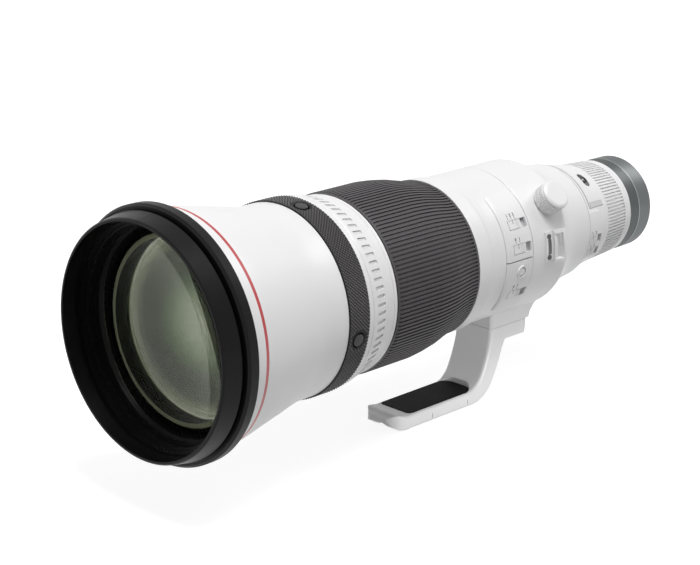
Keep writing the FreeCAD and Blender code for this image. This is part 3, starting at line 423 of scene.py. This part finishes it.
dark_metal = turned_metal("dark_metal", (0.13, 0.13, 0.135), 0.4)
grey_metal = turned_metal("grey_metal", (0.30, 0.325, 0.325), 0.42, metallic=0.8)
tail_metal = turned_metal("tail_ring_metal", (0.185, 0.195, 0.197), 0.5, metallic=0.9, marks=tail_bands)
steel = turned_metal("steel", (0.56, 0.56, 0.57), 0.3)
chrome = turned_metal("mount_plate", (0.70, 0.70, 0.71), 0.18)
gold = turned_metal("gold_contacts", (0.86, 0.62, 0.28), 0.25)
stator = turned_metal("stator_metal", (0.5, 0.46, 0.36), 0.35)


# Glass

DUST_SCALE = 1400.0
DUST_DARKNESS = 0.985


def rings_of_colour(tree, at, stops):
    """A colour that changes with the distance from the optical axis. A stop has a radius and a colour."""
    ramp = tree.nodes.new("ShaderNodeValToRGB")
    ramp.color_ramp.interpolation = "EASE"
    tree.links.new(maths(tree, "DIVIDE", axis_distance(tree, at), SHEEN_REACH * MM), ramp.inputs[0])
    elements = ramp.color_ramp.elements
    while len(elements) < len(stops):
        elements.new(0.5)
    for element, (radius, colour) in zip(elements, stops):
        element.position = radius / SHEEN_REACH
        element.color = (*colour, 1.0)
    return ramp.outputs[0]


def optical(name, tint, ior=1.5, sheen=None, painted_reflection_rings=None):
    """Coated glass: clear, with a trace of dust, and with a coloured sheen in place of white glare. Rings of
    sheen by radius are a painted reflection.
    """
    material, tree, bsdf = new_material(name)
    at = spot(tree)
    dust = noise(tree, at.where, DUST_SCALE)
    feed(tree, bsdf.inputs["Base Color"], mixed(tree, dust, tint, scaled(tint, DUST_DARKNESS)))
    bsdf.inputs["Roughness"].default_value = 0.0
    bsdf.inputs["Transmission Weight"].default_value = 1.0
    bsdf.inputs["IOR"].default_value = ior
    feed(tree, bsdf.inputs["Specular Tint"], sheen or rings_of_colour(tree, at, painted_reflection_rings))
    return material


front_glass = optical("coated_front_glass", (0.93, 0.96, 0.88), sheen=(0.06, 0.07, 0.03))
inner_glass = optical("coated_inner_glass", (0.80, 0.86, 0.70), sheen=(0.30, 0.36, 0.20))
# The sheen rings of the second lens are a painted reflection
second_glass = optical("coated_second_glass", (0.30, 0.33, 0.27), ior=2.5, painted_reflection_rings=SECOND_LENS_PAINTED_REFLECTION)
filter_glass = optical("filter_glass", (0.97, 0.98, 0.97), sheen=(0.5, 0.5, 0.5))


# Looks of the CAD nodes

looks = {
    foot_paint: ("foot",),
    lug_paint: ("strap_lugs",),
    white_paint: ("collar_ring", "main_barrel", "rear_barrel", "filter_holder"),
    white_front: ("front_barrel",),
    white_plastic: ("function_ring", "preset_set_button", "lock_knob"),
    panel_white: ("switch_panel",),
    slider_white: ("stabilizer_mode_switch", "stabilizer_switch", "focus_preset_switch", "focus_mode_switch",
                   "focus_limiter_switch"),
    black_satin: ("front_rubber_ring", "focus_ring", "iris_base", "iris_drive_ring", "stabilizer_lens_frame",
                  "drop_in_filter"),
    black_matt: ("hood_mount_ring", "focus_cell", "button_ring"),
    black_paint: ("inner_tube", "rear_lens_cell"),
    black_plastic: ("contact_block",),
    rib_rubber: ("focus_ring_rubber",),
    button_rubber: tuple("af_stop_button_%d" % k for k in range(1, 5)),
    pad_rubber: ("foot_pad",),
    grey_plastic: ("filter_release_button",),
    liner: ("collar_slide_ring",),
    board: ("circuit_board",),
    dark_blade: tuple("iris_blade_%d" % k for k in range(1, 10)),
    grey_metal: ("cam_ring", "clamp_shoe", "stabilizer_guide_frame"),
    tail_metal: ("mount_extension_ring",),
    steel: ("foot_screws", "mount_screws"),
    dark_metal: ("strap_lug_screws", "lock_slot_plate"),
    chrome: ("bayonet_mount",),
    stator: ("focus_motor",),
    front_glass: ("front_element",),
    inner_glass: ("second_element", "focus_lens", "rear_lens"),
}

for material, names in looks.items():
    for name in names:
        mesh = nodes[name].data
        mesh.materials.clear()
        mesh.materials.append(material)


def radial(point):
    return math.hypot(point.x, point.z)


def within(value, span):
    return span[0] < value < span[1]


def groove_floor(y):
    """The radius under which the function ring's surface is the inside of a groove."""
    return GROOVE_FRONT_R - GROOVE_TAPER * (y - GROOVE_FRONT_Y)


def split_look(node, material, chosen):
    """Gives a second material to the faces of a node whose centre is chosen."""
    mesh = nodes[node].data
    mesh.materials.append(material)
    for face in mesh.polygons:
        if chosen(face.center / MM):
            face.material_index = len(mesh.materials) - 1


split_look("front_barrel", black_matt,
           lambda p: within(p.y, BUTTON_RING_SEAT) and radial(p) < BUTTON_RING_SEAT_R)
# Painted shade: the floors of the function ring's grooves are greyer than the ring
split_look("function_ring", groove_shade, lambda p: within(p.y, GROOVES) and radial(p) < groove_floor(p.y))
split_look("main_barrel", window_grey, lambda p: within(p.y, WINDOWS) and within(radial(p), WINDOW_RADII))
split_look("stabilizer_lens_frame", filter_glass,
           lambda p: radial(p) < STABILIZER_GLASS_R or p.y < STABILIZER_GLASS_FRONT_Y)
split_look("drop_in_filter", filter_glass, lambda p: radial(p) < FILTER_GLASS_R or within(p.y, FILTER_GLASS))
split_look("lock_knob", steel, lambda p: radial(p) < KNOB_SHAFT_R)
split_look("contact_block", gold, lambda p: p.y > CONTACT_TIP_Y)


# New pieces, which all ride on the barrel

def on_ring(turn, y, r):
    """The point at an angle in radians, a station and a radius."""
    return r * math.sin(turn), y, r * math.cos(turn)


def barrel_piece(name, points, faces, materials):
    """A piece with its own mesh. Its points are in millimetres."""
    mesh = bpy.data.meshes.new(name)
    mesh.from_pydata([(x * MM, y * MM, z * MM) for x, y, z in points], [], faces)
    for material in materials:
        mesh.materials.append(material)
    piece = bpy.data.objects.new(name, mesh)
    scene.collection.objects.link(piece)
    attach(piece, "barrel")
    return piece


def lens_side(surface, way):
    """Half the outline of a ground surface, from the axis to its rim. A negative curve is hollow."""
    y, clear, curve = surface
    reach = math.sqrt(curve ** 2 - clear ** 2)
    sign = way if curve > 0 else -way
    radii = [clear * k / LENS_STEPS for k in range(LENS_STEPS + 1)]
    return [(y + sign * (math.sqrt(curve ** 2 - r ** 2) - reach), r) for r in radii]


def turned(outline):
    """The points and faces of an outline turned about the optical axis."""
    points = []
    faces = []
    rows = []
    for y, r in outline:
        if r == 0:
            rows.append([len(points)] * LENS_TURNS)
            points.append((0.0, y, 0.0))
        else:
            rows.append([len(points) + k for k in range(LENS_TURNS)])
            points += [on_ring(2 * math.pi * k / LENS_TURNS, y, r) for k in range(LENS_TURNS)]
    for low, high in zip(rows, rows[1:]):
        for k in range(LENS_TURNS):
            n = (k + 1) % LENS_TURNS
            faces.append(tuple(dict.fromkeys((low[k], low[n], high[n], high[k]))))
    return points, faces


def lens(name, surfaces, radius, material, node):
    """A smooth lens in place of a node of the same shape. Its rim and its rear ring are painted olive as a
    painted reflection, the rim lighter.
    """
    painted, lighter_rim = 1, 2
    front, rear = surfaces
    outline = lens_side(front, -1) + [(front.y, radius), (rear.y, radius)] + lens_side(rear, 1)[::-1]
    points, faces = turned(outline)
    piece = barrel_piece(name, points, faces, (material, edge_painted_reflection, rim_painted_reflection))
    mesh = piece.data
    mesh.polygons.foreach_set("use_smooth", [True] * len(mesh.polygons))
    mesh.set_sharp_from_angle(angle=LENS_EDGE_ANGLE * DEGREE)
    for face in mesh.polygons:
        centre = face.center / MM
        if centre.y <= front.y + EDGE_MARGIN:
            continue
        if radial(centre) > radius - RIM_PAINT_DEPTH:
            face.material_index = lighter_rim
        elif radial(centre) > rear.clear:
            face.material_index = painted
    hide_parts(node)


lens("front_lens", FRONT_LENS, FRONT_LENS_R, front_glass, "front_element")
lens("second_lens", SECOND_LENS, SECOND_LENS_R, second_glass, "second_element")


def by_stop_button(turn, y):
    """True where a place on the band is too near a stop button for a diamond."""
    for angle in STOP_BUTTON_ANGLES:
        off = turn - angle * DEGREE
        distance = math.hypot(KNURL_LOW * math.sin(off), y - STOP_BUTTON_Y)
        if math.cos(off) > 0 and distance < STOP_BUTTON_CLEAR:
            return True
    return False


def knurl_band():
    """Rows of small flat-topped diamonds round the button ring, left out where it has its buttons."""
    step = 2.0 * math.pi / KNURL_COLUMNS
    half = 0.5 * step * KNURL_LOW
    tips = ((-0.5, 0.0), (0.0, -1.0), (0.5, 0.0), (0.0, 1.0))
    points = []
    faces = []

    def diamond(turn, y, share, r):
        start = len(points)
        for u, v in tips:
            station = min(max(y + share * v * half, KNURL[0]), KNURL[1])
            points.append(on_ring(turn + share * u * step, station, r))
        return list(range(start, start + 4))

    for row in range(int((KNURL[1] - KNURL[0]) / half) + 2):
        y = KNURL[0] + row * half
        for column in range(KNURL_COLUMNS):
            turn = (column + 0.5 * (row % 2)) * step
            if by_stop_button(turn, y):
                continue
            base = diamond(turn, y, 1.0, KNURL_LOW)
            top = diamond(turn, y, KNURL_TOP_SHARE, KNURL_HIGH)
            faces.append(tuple(top))
            for n in range(4):
                m = (n + 1) % 4
                faces.append((base[n], base[m], top[m], top[n]))
    barrel_piece("button_ring_knurl", points, faces, (knurl_rubber,))


knurl_band()


def flat_text(text, height):
    """The points and faces of a short text that lies flat, in millimetres."""
    curve = bpy.data.curves.new("text", "FONT")
    curve.body = text
    curve.size = height
    curve.align_x = "CENTER"
    curve.extrude = PRINT_HALF_THICKNESS
    curve.offset = PRINT_WEIGHT * height
    holder = bpy.data.objects.new("text", curve)
    scene.collection.objects.link(holder)
    flat = bpy.data.meshes.new_from_object(holder.evaluated_get(bpy.context.evaluated_depsgraph_get()))
    points = [tuple(vertex.co) for vertex in flat.vertices]
    faces = [tuple(face.vertices) for face in flat.polygons]
    bpy.data.objects.remove(holder)
    bpy.data.meshes.remove(flat)
    bpy.data.curves.remove(curve)
    return points, faces


def printed_numbers():
    """Plain numbers printed beside the switches, bent onto the barrel."""
    points = []
    faces = []
    for texts, stations, angle, r, height in SWITCH_NUMBERS:
        for text, y in zip(texts, stations):
            flat_points, flat_faces = flat_text(text, height)
            faces += [tuple(len(points) + k for k in face) for face in flat_faces]
            points += [on_ring(angle * DEGREE - v / r, y + u, r + w) for u, v, w in flat_points]
    barrel_piece("switch_numbers", points, faces, (black_matt,))


printed_numbers()


# Camera, floor, surroundings and lamps, placed in metres

FLOOR_HALF = 9.0
FLOOR_GREYS = ((0.40, 0.40, 0.40), (0.42, 0.42, 0.42))
FLOOR_GLOW = 0.84
FLOOR_DRIFT_SCALE = 3.0
WORLD_LIGHT = 0.30
WHOLE_LENS = (0.0, -0.25, 0.0)
FOOT_PLATE = (0.02, -0.212, -0.112)
REAR_BARREL = (0.0, -0.08, 0.0)


def camera_view():
    data = bpy.data.cameras.new("camera")
    data.sensor_width = CAMERA_SENSOR
    data.lens = CAMERA_LENS
    data.clip_start = 0.05
    data.clip_end = 60.0
    camera = bpy.data.objects.new("camera", data)
    scene.collection.objects.link(camera)
    turns = Euler([angle * DEGREE for angle in CAMERA_TURNS])
    camera.matrix_world = Matrix.LocRotScale(Vector(CAMERA_PLACE), turns, None)
    scene.camera = camera


def seen(tree):
    """1 for what the camera, a reflection or a glass looks at, and 0 for the light that falls on things."""
    path = tree.nodes.new("ShaderNodeLightPath")
    looked_at = maths(tree, "MAXIMUM", path.outputs["Is Camera Ray"], path.outputs["Is Glossy Ray"])
    return maths(tree, "MAXIMUM", looked_at, path.outputs["Is Transmission Ray"])


def floor():
    """A pale floor under the object that looks white and still takes the object's shadow."""
    low = cad_box[0][2]
    corners = [(x * FLOOR_HALF, y * FLOOR_HALF, low) for x, y in ((-1, -1), (1, -1), (1, 1), (-1, 1))]
    mesh = bpy.data.meshes.new("floor")
    mesh.from_pydata(corners, [], [(0, 1, 2, 3)])
    plane = bpy.data.objects.new("floor", mesh)
    scene.collection.objects.link(plane)
    material, tree, bsdf = new_material("floor_white")
    soft = noise(tree, spot(tree).where, FLOOR_DRIFT_SCALE)
    feed(tree, bsdf.inputs["Base Color"], mixed(tree, soft, *FLOOR_GREYS))
    bsdf.inputs["Roughness"].default_value = 0.9
    bsdf.inputs["Specular IOR Level"].default_value = 0.0
    feed(tree, bsdf.inputs["Emission Color"], FULL_WHITE)
    feed(tree, bsdf.inputs["Emission Strength"], product(tree, seen(tree), FLOOR_GLOW))
    mesh.materials.append(material)


def surroundings():
    """A white world for what looks at it, and a plain soft level for the light it gives."""
    world = bpy.data.worlds.new("world")
    scene.world = world
    world.use_nodes = True
    tree = world.node_tree
    background = tree.nodes["Background"]
    feed(tree, background.inputs["Color"], FULL_WHITE)
    feed(tree, background.inputs["Strength"], spread(tree, seen(tree), WORLD_LIGHT, 1.0))


def lamp(name, where, aim, width, height, watts, cone=180.0):
    """A soft rectangular lamp, in metres, that looks at a place. The cone is in degrees."""
    data = bpy.data.lights.new(name, "AREA")
    data.shape = "RECTANGLE"
    data.size = width
    data.size_y = height
    data.energy = watts
    data.spread = cone * DEGREE
    light = bpy.data.objects.new(name, data)
    scene.collection.objects.link(light)
    light.location = where
    light.rotation_euler = (Vector(aim) - Vector(where)).to_track_quat("-Z", "Y").to_euler()


camera_view()
floor()
surroundings()
lamp("key", (0.62, -0.6, 2.05), WHOLE_LENS, 0.9, 0.9, 35.5)
lamp("fill", (-1.6, -1.1, 0.9), WHOLE_LENS, 1.4, 1.0, 3.0)
lamp("foot", (0.75, -0.26, -0.085), FOOT_PLATE, 0.3, 0.05, 0.045, cone=14.0)
lamp("rear", (0.5, 0.6, 1.0), REAR_BARREL, 0.5, 0.5, 2.3)

scene.view_settings.view_transform = "Standard"
